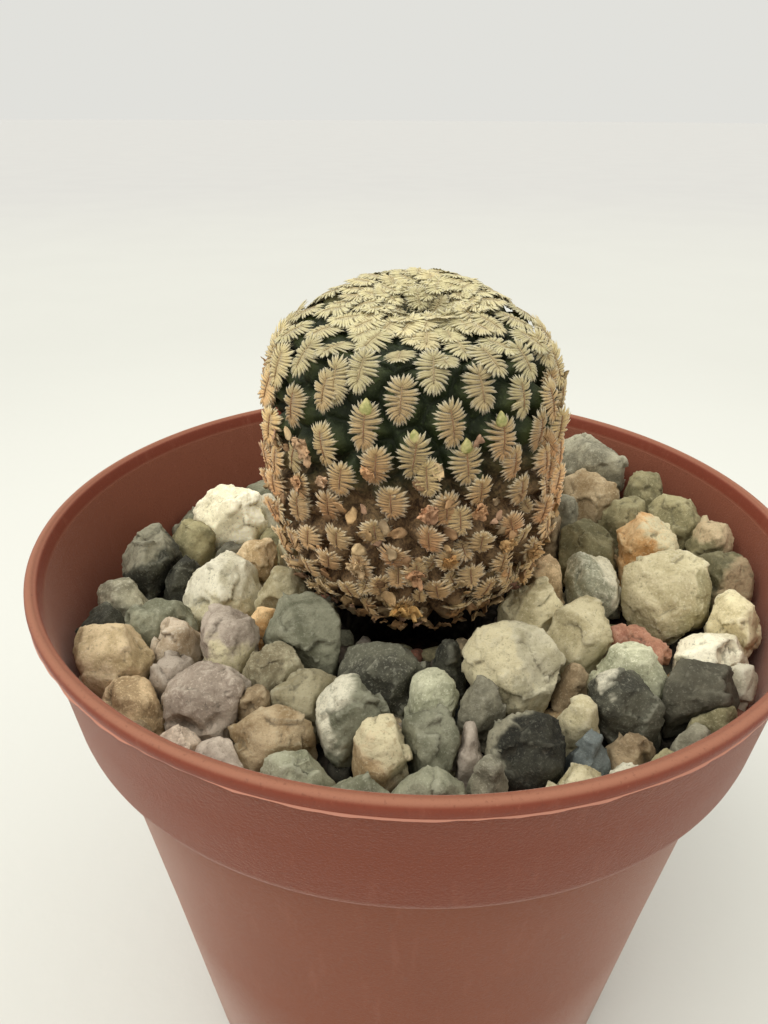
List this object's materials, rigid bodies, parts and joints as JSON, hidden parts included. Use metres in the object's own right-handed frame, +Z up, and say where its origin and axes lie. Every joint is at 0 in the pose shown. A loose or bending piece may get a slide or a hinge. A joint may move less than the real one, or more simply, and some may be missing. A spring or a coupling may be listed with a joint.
{
  "type": "potted turbinicarpus pseudopectinatus cactus",
  "caption": "Small globular cactus covered in comb-shaped spine clusters, growing in a round stepped-rim plastic nursery pot top-dressed with loose crushed stone.",
  "frame": {"origin": "centre of the pot's foot, on the plane it stands on", "axes": "+Z up along the pot's axis, -Y towards the front of the picture, +X to its right"},
  "size_m": [0.055, 0.055, 0.065],
  "materials": {
    "pot_plastic": "terracotta-coloured polypropylene, finely grained on the collar",
    "soil": "dry dark potting mix",
    "gravel_bed": "matt crushed stone of mixed colours",
    "cactus": "cream spine combs on dull green to corky brown skin",
    "stone_white": "matt white quartz",
    "stone_slate": "matt dark slate",
    "stone_grey": "matt grey stone",
    "stone_cream": "matt cream stone",
    "stone_olive": "matt olive stone",
    "stone_tan": "matt tan stone",
    "stone_green": "matt green-grey stone",
    "stone_mauve": "matt mauve-grey stone",
    "stone_brown": "matt brown stone",
    "stone_orange": "matt orange-cream stone",
    "stone_red": "matt red-brown stone"
  },
  "bodies": {
    "root": {"pot": "pot_plastic", "soil": "soil", "gravel_bed": "gravel_bed", "cactus": "cactus", "stone_01_white": "stone_white", "stone_02_slate": "stone_slate", "stone_03_grey": "stone_grey", "stone_04_slate": "stone_slate", "stone_05_cream": "stone_cream", "stone_06_white": "stone_white", "stone_07_slate": "stone_slate", "stone_08_olive": "stone_olive", "stone_09_grey": "stone_grey", "stone_10_tan": "stone_tan", "stone_11_cream": "stone_cream", "stone_12_green": "stone_green", "stone_13_tan": "stone_tan", "stone_14_mauve": "stone_mauve", "stone_15_mauve": "stone_mauve", "stone_16_brown": "stone_brown", "stone_17_green": "stone_green", "stone_18_orange": "stone_orange", "stone_19_slate": "stone_slate", "stone_20_brown": "stone_brown", "stone_21_mauve": "stone_mauve", "stone_22_cream": "stone_cream", "stone_23_green": "stone_green", "stone_24_tan": "stone_tan", "stone_25_mauve": "stone_mauve", "stone_26_mauve": "stone_mauve", "stone_27_tan": "stone_tan", "stone_28_green": "stone_green", "stone_29_green": "stone_green", "stone_30_grey": "stone_grey", "stone_31_tan": "stone_tan", "stone_32_olive": "stone_olive", "stone_33_olive": "stone_olive", "stone_34_olive": "stone_olive", "stone_35_olive": "stone_olive", "stone_36_orange": "stone_orange", "stone_37_cream": "stone_cream", "stone_38_olive": "stone_olive", "stone_39_olive": "stone_olive", "stone_40_white": "stone_white", "stone_41_brown": "stone_brown", "stone_42_cream": "stone_cream", "stone_43_cream": "stone_cream", "stone_44_white": "stone_white", "stone_45_red": "stone_red", "stone_46_green": "stone_green", "stone_47_cream": "stone_cream", "stone_48_white": "stone_white", "stone_49_slate": "stone_slate", "stone_50_grey": "stone_grey", "stone_51_green": "stone_green", "stone_52_grey": "stone_grey", "stone_53_green": "stone_green", "stone_54_slate": "stone_slate", "stone_55_cream": "stone_cream", "stone_56_green": "stone_green"}
  },
  "joints": []
}
